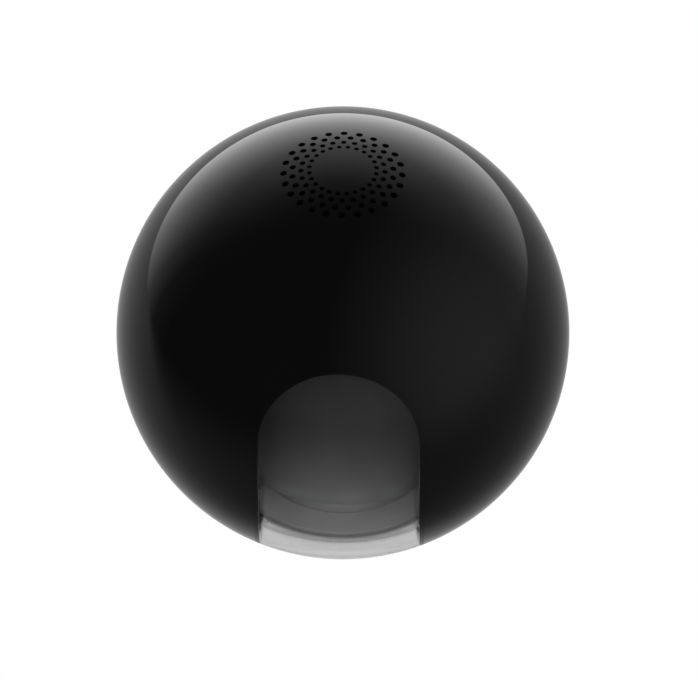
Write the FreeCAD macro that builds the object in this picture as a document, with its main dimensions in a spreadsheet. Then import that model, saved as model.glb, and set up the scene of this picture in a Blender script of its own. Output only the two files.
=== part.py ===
"""Ball-shaped indoor security camera: a glossy ball that pans on a small fixed base and holds a
tilting lens head behind an arched, smoked window. Millimetres, +Z up, front towards -Y.
The origin is at the centre of the foot. Every piece is drawn about the ball's centre and then
raised by centre_height; the tilting head is drawn looking straight ahead and then parked."""
import FreeCAD, Part
import Sketcher
import math
import os
from fcgear import fcgear, involute

V = FreeCAD.Vector
doc = FreeCAD.newDocument("ball_camera")
sheet = doc.addObject("Spreadsheet::Sheet", "Sizes")

# Driving sizes, in millimetres and degrees, with the standard parts' sizes and the clearances
SIZES = {
    # ball shell and its window
    "ball_radius": 50.0, "seam_tilt": 46.0, "seam_gap": 0.2, "pan_gap": 0.6, "fit": 0.05,
    "loose_fit": 0.2,
    # speaker and its grille
    "grille_count": 24.0, "screen_wall": 0.3,
    # fixed base
    "insert_radius": 4.2, "insert_bore": 2.6, "base_screw_count": 3.0, "screw_head_radius": 1.9,
    "screw_head_height": 1.0, "screw_radius": 1.0, "screw_boss_radius": 2.3, "socket_width": 7.6,
    "socket_height": 2.6, "socket_depth": 5.6, "socket_metal": 0.3, "socket_board_wall": 0.8,
    "socket_board_width": 13.0, "socket_board_depth": 10.0,
    # turntable and pan drive
    "rear_lug_turn": 45.0, "front_lug_turn": -32.0, "pan_gear_teeth": 72.0,
    "pan_pinion_teeth": 14.0, "mesh_clearance": 0.08, "shaft_radius": 0.75,
    "motor_screw_length": 3.0,
    # tilt drive
    "tilt_gear_teeth": 48.0, "tilt_pinion_teeth": 12.0, "running_fit": 0.04,
    # tilting head
    "park_angle": 80.0, "visor_start": 30.0, "visor_sweep": 80.0,
    # boards, slot and button in the rear of the ball
    "card_socket_half_width": 7.0, "card_socket_wall": 1.7, "card_slot_width": 12.0,
    "card_slot_height": 1.5, "button_travel": 0.5,
}

# Lengths that follow the ball, each as a share of its radius
SHARES = {
    # ball shell and its window
    "centre_height": 0.94, "shell_wall": 0.048, "lip_width": 0.06, "lip_wall": 0.024,
    "rim_drop": 0.774, "window_half_width": 0.354, "window_arch_height": 0.198, "window_wall": 0.07,
    "gasket_width": 0.016,
    # speaker and its grille
    "grille_ring_outer": 0.26, "grille_hole_outer": 0.0156, "grille_ring_third": 0.222,
    "grille_hole_third": 0.014, "grille_ring_second": 0.184, "grille_hole_second": 0.0124,
    "grille_ring_inner": 0.148, "grille_hole_inner": 0.0108, "speaker_radius": 0.28,
    "speaker_top": 0.888, "speaker_depth": 0.072, "speaker_wall": 0.024,
    "speaker_collar_wall": 0.03, "magnet_radius": 0.15, "magnet_depth": 0.044, "clamp_wall": 0.014,
    "clamp_bore": 0.18, "foam_wall": 0.01, "foam_width": 0.026,
    # fixed base
    "base_wall": 0.04, "base_roof": 0.024, "base_floor_drop": 0.924, "plate_wall": 0.036,
    "plate_radius": 0.332, "foot_inner": 0.298, "foot_outer": 0.376, "foot_wall": 0.016,
    "hub_radius": 0.16, "hub_neck_radius": 0.13, "hub_bore": 0.08, "hub_shoulder_drop": 0.726,
    "hub_top_drop": 0.678, "retainer_radius": 0.172, "retainer_wall": 0.016, "insert_length": 0.092,
    "insert_boss": 0.12, "insert_cap": 0.02, "base_screw_circle": 0.226, "base_screw_length": 0.072,
    "notch_half_width": 0.13, "notch_place": 0.468, "stop_half_width": 0.016, "stop_reach": 0.228,
    "stop_peg_near": 0.186,
    # turntable and pan drive
    "table_wall": 0.04, "table_gap": 0.0146, "table_lift": 0.006, "bushing_wall": 0.032,
    "washer_radius": 0.24, "flange_wall": 0.032, "flange_inner": 0.526, "lug_circle": 0.49,
    "lug_radius": 0.044, "lug_height": 0.068, "gear_module": 0.01, "gear_wall": 0.032, "deck_wall": 0.018,
    "deck_top_drop": 0.656, "deck_skirt": 0.02, "deck_bore": 0.1, "ear_reach": 0.19,
    "post_radius": 0.038, "motor_radius": 0.14, "motor_depth": 0.14, "motor_ear_wall": 0.018,
    "motor_ear_width": 0.1, "motor_boss_radius": 0.044,
    # tilt drive
    "head_half_width": 0.376, "arm_inner": 0.42, "arm_wall": 0.04, "arm_half_depth": 0.14,
    "arm_foot_reach": 0.498, "arm_foot_wall": 0.052, "arm_screw_place": 0.472,
    "arm_screw_spread": 0.088, "axle_radius": 0.04, "bearing_wall": 0.024, "bearing_flange": 0.092,
    # tilting head
    "drum_radius": 0.48, "drum_half_width": 0.34, "drum_wall": 0.032, "drum_front": 0.34,
    "drum_split": 0.12, "face_wall": 0.036, "visor_radius": 0.76, "visor_wall": 0.028,
    "cheek_wall": 0.03, "cheek_hub": 0.11, "barrel_radius": 0.18, "barrel_bore": 0.148,
    "barrel_front": 0.58, "barrel_rear": 0.24, "lens_radius": 0.146, "lens_bulge": 0.044,
    "lens_edge": 0.024, "lens_recess": 0.016, "rear_lens_radius": 0.1, "sensor_board_place": 0.12,
    "sensor_board_wall": 0.024, "sensor_board_half_width": 0.28, "sensor_board_half_height": 0.26,
    "sensor_half_width": 0.084, "sensor_half_height": 0.072, "sensor_wall": 0.02,
    "post_x": 0.236, "post_z": 0.22, "mount_half_width": 0.2, "mount_bore": 0.12,
    "ir_board_place": 0.304, "ir_board_wall": 0.02, "ir_board_half_height": 0.28,
    "led_radius": 0.03, "led_height": 0.03, "led_x": 0.26, "led_z": 0.1, "ir_port_radius": 0.042,
    "light_sensor_radius": 0.018, "light_sensor_height": 0.272,
    # boards, slot and button in the rear of the ball
    "board_front": 0.56, "board_wall": 0.032, "board_half_width": 0.4, "board_top": 0.28,
    "board_bottom": 0.36, "board_hole_x": 0.32, "board_hole_top": 0.2, "board_hole_bottom": 0.29,
    "board_boss_radius": 0.046, "board_boss_reach": 0.88, "can_half_width": 0.16, "can_bottom": 0.1,
    "can_height": 0.04, "antenna_half_width": 0.26, "antenna_height": 0.12, "antenna_wall": 0.016,
    "io_board_top": 0.208, "io_board_wall": 0.024, "io_board_half_width": 0.26,
    "io_board_reach": 0.872, "button_height": 0.284, "button_radius": 0.036, "button_flange": 0.048,
    "button_face": 0.946, "button_flange_wall": 0.016, "button_back": 0.872, "switch_depth": 0.06,
    "switch_half_width": 0.06, "switch_stem": 0.02, "mic_place": 0.216, "mic_back": 0.832,
    "mic_radius": 0.034, "mic_depth": 0.032, "mic_port": 0.012,
}

row = 0
for alias, value in SIZES.items():
    row += 1
    sheet.set("A%d" % row, alias.replace("_", " "))
    sheet.set("B%d" % row, str(value))
    sheet.setAlias("B%d" % row, alias)
for alias, value in SHARES.items():
    row += 1
    sheet.set("A%d" % row, alias.replace("_", " "))
    sheet.set("B%d" % row, "=%r * ball_radius" % value)
    sheet.setAlias("B%d" % row, alias)
doc.recompute()


class Size:
    """A length or angle that knows its number and the sheet expression it comes from."""

    def __init__(self, value, text):
        self.value = float(value)
        self.text = text

    def join(self, other, sign, value):
        return Size(value, "(%s %s %s)" % (self.text, sign, other.text))

    def __add__(self, other):
        other = as_size(other)
        return self.join(other, "+", self.value + other.value)

    def __sub__(self, other):
        other = as_size(other)
        return self.join(other, "-", self.value - other.value)

    def __mul__(self, other):
        other = as_size(other)
        return self.join(other, "*", self.value * other.value)

    def __truediv__(self, other):
        other = as_size(other)
        return self.join(other, "/", self.value / other.value)

    def __rsub__(self, other):
        return as_size(other) - self

    def __radd__(self, other):
        return as_size(other) + self

    def __rmul__(self, other):
        return as_size(other) * self

    def __rtruediv__(self, other):
        return as_size(other) / self

    def __neg__(self):
        return Size(-self.value, "(-1 * %s)" % self.text)


def as_size(number):
    return number if isinstance(number, Size) else Size(number, repr(float(number)))


def root(size):
    return Size(math.sqrt(size.value), "sqrt(%s)" % size.text)


def sine(size):
    return Size(math.sin(math.radians(size.value)), "sin(%s)" % size.text)


def cosine(size):
    return Size(math.cos(math.radians(size.value)), "cos(%s)" % size.text)


class Sheet:
    """Reads a named value of the spreadsheet as a Size."""

    def __getattr__(self, alias):
        return Size(sheet.get(alias), "Sizes." + alias)


S = Sheet()


def chord(radius, offset):
    """Half the width of a circle of that radius, cut that far from its centre."""
    return root(radius * radius - offset * offset)


def bind(target, name, size):
    size = as_size(size)
    if name.startswith("Placement"):
        target.setExpression(name, size.text)
        return
    setattr(target, name, size.value)
    target.setExpression(name, size.text)


count_of = {}


def new(kind, name):
    count_of[name] = count_of.get(name, 0) + 1
    return doc.addObject(kind, "%s_%d" % (name, count_of[name]))


def put(target, at, along="z"):
    """Places a primitive: its own Z runs along the named axis, from the point given."""
    turn = {
        "z": FreeCAD.Rotation(),
        "-z": FreeCAD.Rotation(V(1, 0, 0), 180),
        "x": FreeCAD.Rotation(V(0, 1, 0), 90),
        "-x": FreeCAD.Rotation(V(0, 1, 0), -90),
        "y": FreeCAD.Rotation(V(1, 0, 0), -90),
        "-y": FreeCAD.Rotation(V(1, 0, 0), 90),
    }[along]
    at = [as_size(value) for value in at]
    target.Placement = FreeCAD.Placement(V(*[value.value for value in at]), turn)
    for letter, value in zip("xyz", at):
        bind(target, "Placement.Base." + letter, value)
    return target


def cylinder(radius, length, at=(0, 0, 0), along="z", name="cylinder"):
    target = new("Part::Cylinder", name)
    bind(target, "Radius", radius)
    bind(target, "Height", length)
    return put(target, at, along)


def cone(radius_from, radius_to, length, at=(0, 0, 0), along="z", name="cone"):
    target = new("Part::Cone", name)
    bind(target, "Radius1", radius_from)
    bind(target, "Radius2", radius_to)
    bind(target, "Height", length)
    return put(target, at, along)


def ball(radius, at=(0, 0, 0), name="ball"):
    target = new("Part::Sphere", name)
    bind(target, "Radius", radius)
    return put(target, at)


def block(low, high, name="block"):
    """A box between two corners."""
    target = new("Part::Box", name)
    for side, a, b in zip(("Length", "Width", "Height"), low, high):
        bind(target, side, as_size(b) - as_size(a))
    return put(target, low)


def cut(base, *tools):
    for tool in tools:
        result = new("Part::Cut", "cut")
        result.Base = base
        result.Tool = tool
        base = result
    return base


def fuse(*pieces):
    result = new("Part::MultiFuse", "fuse")
    result.Shapes = list(pieces)
    return result


def common(first, second):
    result = new("Part::Common", "common")
    result.Base = first
    result.Tool = second
    return result


def group(*pieces):
    """Separate solids that share one node."""
    result = new("Part::Compound", "group")
    result.Links = list(pieces)
    return result


NODES = {}


def finish(label, target, height=None, park=False):
    """Names a finished piece and raises it to the ball's centre; the head also turns to its park."""
    if target.TypeId != "PartDesign::Body":
        target = group(target)
    target.Label = label
    if park:
        target.Placement = FreeCAD.Placement(V(), FreeCAD.Rotation(V(1, 0, 0), S.park_angle.value))
        target.setExpression("Placement.Rotation.Angle", S.park_angle.text)
    bind(target, "Placement.Base.z", S.centre_height if height is None else height)
    NODES[label] = target
    return target


def plane_of(body, role):
    return [f for f in body.Origin.OriginFeatures if f.Role == role][0]


def new_body(label):
    return doc.addObject("PartDesign::Body", label + "_body")


def sketch_on(body, role, offset=0):
    """A sketch on one of the body's own origin planes, moved along the plane's normal."""
    sketch = body.newObject("Sketcher::SketchObject", body.Name + "_sketch")
    sketch.AttachmentSupport = [(plane_of(body, role), "")]
    sketch.MapMode = "FlatFace"
    offset = as_size(offset)
    sketch.AttachmentOffset = FreeCAD.Placement(V(0, 0, offset.value), FreeCAD.Rotation())
    sketch.setExpression("AttachmentOffset.Base.z", offset.text)
    return sketch


def hold(sketch, geometry, point, x, y):
    """Holds a sketch point at sheet-driven distances from the sketch's origin."""
    for kind, value, axis in (("DistanceX", x, -2), ("DistanceY", y, -1)):
        value = as_size(value)
        if value.value == 0:
            sketch.addConstraint(Sketcher.Constraint("PointOnObject", geometry, point, axis))
            continue
        rule = Sketcher.Constraint(kind, -1, 1, geometry, point, value.value)
        sketch.setExpression("Constraints[%d]" % sketch.addConstraint(rule), value.text)


def outline(sketch, corners):
    """A closed outline of straight sides through the corners."""
    corners = [(as_size(x), as_size(y)) for x, y in corners]
    points = [V(x.value, y.value, 0) for x, y in corners]
    first = len(sketch.Geometry)
    for start, end in zip(points, points[1:] + points[:1]):
        sketch.addGeometry(Part.LineSegment(start, end))
    sides = len(points)
    for side in range(sides):
        after = first + (side + 1) % sides
        sketch.addConstraint(Sketcher.Constraint("Coincident", first + side, 2, after, 1))
    for side, (x, y) in enumerate(corners):
        hold(sketch, first + side, 1, x, y)
    return sketch


def circle(sketch, radius, x=0, y=0):
    x, y, radius = as_size(x), as_size(y), as_size(radius)
    shape = Part.Circle(V(x.value, y.value, 0), V(0, 0, 1), radius.value)
    index = sketch.addGeometry(shape)
    hold(sketch, index, 3, x, y)
    rule = sketch.addConstraint(Sketcher.Constraint("Radius", index, radius.value))
    sketch.setExpression("Constraints[%d]" % rule, radius.text)
    return sketch


def pad(body, sketch, length):
    feature = body.newObject("PartDesign::Pad", body.Name + "_pad")
    feature.Profile = sketch
    bind(feature, "Length", length)
    return feature


def pocket(body, sketch, length, reverse=False):
    feature = body.newObject("PartDesign::Pocket", body.Name + "_pocket")
    feature.Profile = sketch
    feature.Reversed = reverse
    bind(feature, "Length", length)
    return feature


def turned(label, corners):
    """A piece turned on the vertical axis from an outline of (radius, height) corners."""
    body = new_body(label)
    sketch = outline(sketch_on(body, "XZ_Plane"), corners)
    feature = body.newObject("PartDesign::Revolution", body.Name + "_turn")
    feature.Profile = sketch
    feature.ReferenceAxis = (sketch, ["V_Axis"])
    feature.Angle = 360.0
    return body


def polar(body, feature, role, count):
    pattern = body.newObject("PartDesign::PolarPattern", body.Name + "_pattern")
    pattern.Originals = [feature]
    pattern.Axis = (plane_of(body, role), [""])
    pattern.Angle = 360.0
    pattern.Occurrences = int(count.value)
    pattern.setExpression("Occurrences", count.text)
    body.Tip = pattern
    return pattern


def ring(radius_in, radius_out, low, high, name="ring"):
    """A plain ring between two heights, for spacers, washers and bushes."""
    inner = cylinder(radius_in, as_size(high) - low + 2, (0, 0, as_size(low) - 1), name=name)
    return cut(cylinder(radius_out, as_size(high) - low, (0, 0, low), name=name), inner)


def gear(teeth, thickness, bore, towards, space=False):
    """An involute spur gear on the Z axis with a tooth, or a space, turned towards its mate."""
    builder = fcgear.FCWireBuilder()
    involute.CreateExternalGear(builder, S.gear_module.value, int(teeth.value), 20.0)
    wire = Part.Wire([edge.toShape() for edge in builder.wire])
    solid = Part.Face(wire).extrude(V(0, 0, thickness.value))
    solid = solid.cut(Part.makeCylinder(bore.value, thickness.value * 3, V(0, 0, -thickness.value)))
    turn = towards + (180.0 / teeth.value if space else 0.0)
    turned_by = FreeCAD.Placement(V(), FreeCAD.Rotation(V(0, 0, 1), turn))
    return solid.transformed(turned_by.toMatrix(), copy=True)


def place_shape(label, shape, at, along="z"):
    target = doc.addObject("Part::Feature", label + "_shape")
    target.Shape = shape
    return put(target, at, along)


# Heights and radii that several pieces share, counted from the ball's centre
rim = -S.rim_drop
shell_inside = S.ball_radius - S.shell_wall
roof_top = rim - S.pan_gap
roof_bottom = roof_top - S.base_roof
base_floor = -S.base_floor_drop
plate_top = base_floor + S.plate_wall
hub_shoulder = -S.hub_shoulder_drop
hub_top = -S.hub_top_drop
table_bottom = rim + S.table_lift
table_top = table_bottom + S.table_wall
deck_top = -S.deck_top_drop
deck_bottom = deck_top - S.deck_wall
table_radius = root(shell_inside * shell_inside - table_bottom * table_bottom) - S.table_gap
deck_radius = S.arm_inner - S.loose_fit
far = S.ball_radius * 2


def ball_wall(outer, inner):
    return cut(ball(outer), ball(inner))


def seam_block(gap):
    """Everything on the upper front side of the tilted seam, short of it by the gap."""
    target = new("Part::Box", "seam")
    bind(target, "Length", far * 2)
    bind(target, "Width", far * 2)
    bind(target, "Height", far)
    turn = FreeCAD.Rotation(V(1, 0, 0), S.seam_tilt.value)
    target.Placement = FreeCAD.Placement(V(), turn)
    target.setExpression("Placement.Rotation.Angle", S.seam_tilt.text)
    shift = as_size(gap)
    bind(target, "Placement.Base.x", -far)
    bind(target, "Placement.Base.y", -far * cosine(S.seam_tilt) - shift * sine(S.seam_tilt))
    bind(target, "Placement.Base.z", -far * sine(S.seam_tilt) + shift * cosine(S.seam_tilt))
    return target


def arch(half_width):
    """The window's outline pushed back from the front: upright sides under a half round."""
    low = -S.ball_radius
    body = block((-half_width, -far, low), (half_width, 0, S.window_arch_height))
    head = cylinder(half_width, far, (0, 0, S.window_arch_height), "-y")
    return fuse(body, head)


# Upper front shell: one seamless glossy moulding with the grille at its top and the arch
collar_inner = S.speaker_radius + S.fit * 4
collar_outer = collar_inner + S.speaker_collar_wall
speaker_bottom = S.speaker_top - S.speaker_depth
collar = common(ring(collar_inner, collar_outer, speaker_bottom, S.ball_radius),
                ball(S.ball_radius - 0.6))
front = fuse(common(ball_wall(S.ball_radius, shell_inside), seam_block(S.seam_gap / 2)), collar)
gasket_outer = S.window_half_width + S.gasket_width
front = cut(front, arch(gasket_outer))
holes = []
GRILLE = [("outer", 0.0), ("third", 0.5), ("second", 0.0), ("inner", 0.5)]
for ring_name, stagger in GRILLE:
    circle_radius = getattr(S, "grille_ring_" + ring_name)
    hole_radius = getattr(S, "grille_hole_" + ring_name)
    step = 360.0 / S.grille_count
    for number in range(int(S.grille_count.value)):
        turn = step * (number + stagger)
        at = (circle_radius * sine(turn), circle_radius * cosine(turn), S.speaker_top)
        holes.append(cylinder(hole_radius, S.ball_radius - S.speaker_top + 1, at, name="hole"))
finish("front_shell", cut(front, group(*holes)))

# Lower rear shell: carries the rim, an inner lip along the seam, the flange and four lugs
rear = cut(cut(ball_wall(S.ball_radius, shell_inside), seam_block(-S.seam_gap / 2)),
           block((-far, -far, -far), (far, far, rim)))
lip_outer = shell_inside - S.fit
lip_zone = cut(seam_block(-S.lip_width), seam_block(S.lip_width))
lip = common(ball_wall(shell_inside + 0.4, lip_outer - S.lip_wall), lip_zone)
lip_front_cut = common(ball_wall(shell_inside + 1, lip_outer), seam_block(-S.seam_gap / 2))
lip = cut(lip, lip_front_cut)
flange = common(ring(S.flange_inner, far, table_top, table_top + S.flange_wall),
                ball(S.ball_radius - 1))
lugs = []
LUG_TURNS = [S.rear_lug_turn, 180 - S.rear_lug_turn, S.front_lug_turn, 180 - S.front_lug_turn]
lug_places = [(S.lug_circle * cosine(turn), S.lug_circle * sine(turn)) for turn in LUG_TURNS]
for x, y in lug_places:
    lugs.append(cylinder(S.lug_radius, S.lug_height, (x, y, table_top), name="lug"))
lug_webs = []
for turn in LUG_TURNS:
    web = block((S.lug_circle, -0.8, table_top), (S.flange_inner + 3, 0.8, table_top + S.flange_wall))
    bind(web, "Placement.Base.x", (S.lug_circle) * cosine(turn) + 0.8 * sine(turn))
    bind(web, "Placement.Base.y", (S.lug_circle) * sine(turn) - 0.8 * cosine(turn))
    web.Placement.Rotation = FreeCAD.Rotation(V(0, 0, 1), turn.value)
    web.setExpression("Placement.Rotation.Angle", turn.text)
    lug_webs.append(web)
bosses = []
for x, z in ((S.board_hole_x, S.board_hole_top), (-S.board_hole_x, S.board_hole_top),
             (S.board_hole_x, -S.board_hole_bottom), (-S.board_hole_x, -S.board_hole_bottom)):
    back = S.board_front + S.board_wall
    boss = cylinder(S.board_boss_radius, S.board_boss_reach - back, (x, back, z), "y", "boss")
    bore = cylinder(S.screw_radius + S.fit, 6, (x, back - 1, z), "y", "boss")
    bosses.append(cut(common(boss, ball(S.ball_radius - 0.8)), bore))
screw_bores = [cylinder(S.screw_radius + S.fit, S.lug_height - 0.6, (x, y, table_top - 0.2), name="bore")
               for x, y in lug_places]
rear = fuse(rear, lip, flange, *lugs, *lug_webs, *bosses)
card_top = -S.io_board_top + S.fit + S.card_socket_wall
slot_low = -S.io_board_top + S.fit + (S.card_socket_wall - S.card_slot_height) / 2
card_slot = block((-S.card_slot_width / 2, S.io_board_reach, slot_low),
                  (S.card_slot_width / 2, far, slot_low + S.card_slot_height))
button_bore = cylinder(S.button_radius + S.fit, far, (0, S.button_back, -S.button_height), "y")
mic_port = cylinder(S.mic_port, far, (S.mic_place, S.mic_back, -S.io_board_top + S.mic_radius), "y")
rear = cut(rear, arch(gasket_outer), group(*screw_bores), card_slot, button_bore, mic_port)
finish("rear_shell", rear)

# Smoked window and the dark seal round it, both flush with the ball
above_rim = block((-far, -far, rim), (far, 0, far))
window_wall = ball_wall(S.ball_radius, S.ball_radius - S.window_wall)
pane = common(common(window_wall, arch(S.window_half_width - S.fit)), above_rim)
table_seat = cylinder(table_radius + S.loose_fit, table_top + S.loose_fit - rim + 1, (0, 0, rim - 1))
finish("front_window", cut(pane, table_seat))
seal = cut(common(ball_wall(S.ball_radius, shell_inside), arch(gasket_outer - S.fit)),
           arch(S.window_half_width))
finish("window_gasket", common(seal, block((-far, -far, rim), (far, 0, far))))

# Fixed base: a bowl that carries on the ball's curve, with the hub that the ball turns on
bowl = cut(common(ball(S.ball_radius), block((-far, -far, base_floor), (far, far, roof_top))),
           common(ball(S.ball_radius - S.base_wall), block((-far, -far, -far), (far, far, roof_bottom))))
notch_wall = S.notch_place - S.base_wall
notch_side = S.notch_half_width + S.base_wall
wall = common(ball(S.ball_radius), block((-notch_side, notch_wall, base_floor),
                                         (notch_side, far, roof_top)))
hub = fuse(cylinder(S.hub_radius, hub_shoulder - roof_bottom, (0, 0, roof_bottom)),
           cylinder(S.hub_neck_radius, hub_top - roof_bottom, (0, 0, roof_bottom)))
base_turns = [as_size(-90), as_size(30), as_size(150)]
base_places = [(S.base_screw_circle * cosine(turn), S.base_screw_circle * sine(turn))
               for turn in base_turns]
base_bosses = [cylinder(S.screw_boss_radius, roof_bottom - plate_top, (x, y, plate_top))
               for x, y in base_places]
base_bores = [cylinder(S.screw_radius + S.fit, S.base_screw_length, (x, y, plate_top - 0.2))
              for x, y in base_places]
board_low = plate_top
socket_low = board_low + S.socket_board_wall
board_side = S.socket_board_width / 2
socket_side = S.socket_width / 2
socket_back = notch_wall + 1.2 - S.socket_depth
housing = fuse(bowl, wall, hub, *base_bosses)
housing = cut(
    housing,
    block((-S.notch_half_width, S.notch_place, -far), (S.notch_half_width, far, far)),
    block((-board_side - S.loose_fit, S.insert_boss, plate_top),
          (board_side + S.loose_fit, notch_wall, roof_bottom)),
    block((-socket_side - S.loose_fit, notch_wall - 1, socket_low - S.loose_fit),
          (socket_side + S.loose_fit, far, socket_low + S.socket_height + S.loose_fit)),
    cylinder(S.plate_radius + S.loose_fit, plate_top - base_floor + 1, (0, 0, base_floor - 1)),
    cylinder(S.hub_bore, far, (0, 0, plate_top)),
    group(*base_bores),
)
finish("base_housing", housing)

plate = new_body("base_plate")
pad(plate, circle(sketch_on(plate, "XY_Plane", base_floor), S.plate_radius), S.plate_wall)
pad(plate, circle(sketch_on(plate, "XY_Plane", plate_top), S.insert_boss),
    S.insert_length + S.insert_cap - S.plate_wall)
doc.recompute()
seat = circle(sketch_on(plate, "XY_Plane", base_floor), S.insert_radius + S.fit)
pocket(plate, seat, S.insert_length, True)
doc.recompute()
shank = circle(sketch_on(plate, "XY_Plane", base_floor), S.screw_radius + S.fit,
               base_places[0][0], base_places[0][1])
polar(plate, pocket(plate, shank, S.plate_wall, True), "Z_Axis", S.base_screw_count)
doc.recompute()
sink = circle(sketch_on(plate, "XY_Plane", base_floor), S.screw_head_radius + S.fit,
              base_places[0][0], base_places[0][1])
polar(plate, pocket(plate, sink, S.screw_head_height, True), "Z_Axis", S.base_screw_count)
finish("base_plate", plate)

foot_low = base_floor - S.foot_wall
foot = turned("foot_ring", [
    (S.foot_inner, foot_low), (S.foot_outer - 0.3, foot_low), (S.foot_outer, foot_low + 0.3),
    (S.foot_outer, base_floor), (S.foot_inner, base_floor)])
finish("foot_ring", foot)

insert = turned("tripod_insert", [(S.insert_bore, base_floor), (S.insert_radius, base_floor),
                                  (S.insert_radius, base_floor + S.insert_length),
                                  (S.insert_bore, base_floor + S.insert_length)])
finish("tripod_insert", insert)


def screw(x, y, z, length, along):
    """A pan-head screw whose head starts at the point and whose shank runs on from it."""
    head = cylinder(S.screw_head_radius, S.screw_head_height, (x, y, z), along, "screw")
    reach = S.screw_head_height + length
    drive = cylinder(S.screw_radius * 0.6, S.screw_head_height * 0.6, (x, y, z), along, "screw")
    return cut(fuse(head, cylinder(S.screw_radius, reach, (x, y, z), along, "screw")), drive)


finish("base_screws", group(*[screw(x, y, base_floor, S.base_screw_length, "z")
                              for x, y in base_places]))

board_edge = notch_wall - S.loose_fit
finish("socket_board", block((-board_side, board_edge - S.socket_board_depth, board_low),
                             (board_side, board_edge, socket_low)))
jacket = block((-socket_side, socket_back, socket_low),
               (socket_side, socket_back + S.socket_depth, socket_low + S.socket_height))
hollow = block((-socket_side + S.socket_metal, socket_back + 1.0, socket_low + S.socket_metal),
               (socket_side - S.socket_metal, far, socket_low + S.socket_height - S.socket_metal))
finish("power_socket", cut(jacket, hollow))
tongue_low = socket_low + S.socket_height * 0.5
finish("socket_tongue", block((-socket_side * 0.7, socket_back + 1.0, tongue_low),
                              (socket_side * 0.7, socket_back + S.socket_depth - 0.6, tongue_low + 0.6)))

# Pan drive: a fixed gear on the hub, a motor and pinion that travel round it with the ball
gear_top = hub_shoulder + S.gear_wall
fixed_gear = gear(S.pan_gear_teeth, S.gear_wall, S.hub_neck_radius + S.fit, 90)
finish("pan_gear", place_shape("pan_gear", fixed_gear, (0, 0, hub_shoulder)))
tab = block((-S.stop_half_width, -S.stop_reach, gear_top),
            (S.stop_half_width, -S.hub_radius, gear_top + S.retainer_wall))
washer = ring(S.hub_neck_radius + S.fit, S.retainer_radius, gear_top, gear_top + S.retainer_wall)
finish("hub_retainer", fuse(washer, tab))

bush = turned("pan_bushing", [
    (S.hub_radius + S.running_fit, roof_top + S.running_fit), (S.washer_radius, roof_top + S.running_fit),
    (S.washer_radius, table_bottom), (S.hub_radius + S.bushing_wall, table_bottom),
    (S.hub_radius + S.bushing_wall, table_top - 0.1), (S.hub_radius + S.running_fit, table_top - 0.1)])
finish("pan_bushing", bush)

arm_places = [(S.arm_screw_place, S.arm_screw_spread), (S.arm_screw_place, -S.arm_screw_spread),
              (-S.arm_screw_place, S.arm_screw_spread), (-S.arm_screw_place, -S.arm_screw_spread)]
table = new_body("turntable")
face = circle(sketch_on(table, "XY_Plane", table_bottom), table_radius)
circle(face, S.hub_radius + S.bushing_wall + S.fit)
for x, y in lug_places + arm_places:
    circle(face, S.screw_radius + S.fit, x, y)
pad(table, face, S.table_wall)
doc.recompute()
sinks = sketch_on(table, "XY_Plane", table_bottom)
for x, y in lug_places + arm_places:
    circle(sinks, S.screw_head_radius + S.fit, x, y)
pocket(table, sinks, S.screw_head_height, True)
finish("turntable", table)
finish("shell_screws", group(*[screw(x, y, table_bottom, S.lug_height - 0.6, "z")
                               for x, y in lug_places]))

pan_pitch = S.gear_module * (S.pan_gear_teeth + S.pan_pinion_teeth) / 2 + S.mesh_clearance
pad_reach = S.ear_reach + S.motor_ear_width / 2
deck = turned("deck_cover", [
    (S.deck_bore, deck_bottom), (deck_radius - S.deck_skirt, deck_bottom),
    (deck_radius - S.deck_skirt, table_top), (deck_radius, table_top),
    (deck_radius, deck_top - 0.3), (deck_radius - 0.3, deck_top), (S.deck_bore, deck_top)])
motor_pad = block((-pad_reach, deck_radius - 7, deck_bottom),
                  (pad_reach, pan_pitch + S.motor_ear_width, deck_top))
gap_side = S.ear_reach - S.post_radius - 0.4
gap = block((-gap_side, deck_radius - 5, table_top - 1), (gap_side, far, deck_bottom))
posts = [cylinder(S.post_radius, deck_bottom - table_top, (x, pan_pitch, table_top))
         for x in (S.ear_reach, -S.ear_reach)]
peg = block((-S.stop_half_width, S.stop_peg_near, gear_top + 0.3),
            (S.stop_half_width, S.stop_reach, deck_bottom))
post_bores = [cylinder(S.screw_radius + S.fit, 5, (x, pan_pitch, table_top + 0.6))
              for x in (S.ear_reach, -S.ear_reach)]
deck_shape = fuse(cut(deck, gap), motor_pad, peg, *posts)
boss_hole = cylinder(S.motor_boss_radius + S.loose_fit, 5, (0, pan_pitch, deck_bottom - 1))
finish("deck_cover", cut(deck_shape, group(*post_bores), boss_hole))


def motor():
    """A small geared stepper: round can, two ears and a boss, drawn at the origin facing -Z."""
    can = cylinder(S.motor_radius, S.motor_depth)
    half_ear = S.motor_ear_width / 2
    ears = block((-pad_reach, -half_ear, 0), (pad_reach, half_ear, S.motor_ear_wall))
    boss = cylinder(S.motor_boss_radius, 0.6, (0, 0, -0.6))
    bores = [cylinder(S.screw_radius + S.fit, 5, (x, 0, -1)) for x in (S.ear_reach, -S.ear_reach)]
    shaft_bore = cylinder(S.shaft_radius + S.running_fit, S.motor_depth - 1, (0, 0, -1))
    return cut(fuse(can, ears, boss), group(*bores), shaft_bore)


def seat(target, at, turn):
    """Moves a finished sub-assembly to a place, after a turn of its own."""
    holder = group(target)
    holder.Placement = FreeCAD.Placement(V(), turn)
    for letter, value in zip("xyz", at):
        bind(holder, "Placement.Base." + letter, value)
    return holder


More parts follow.
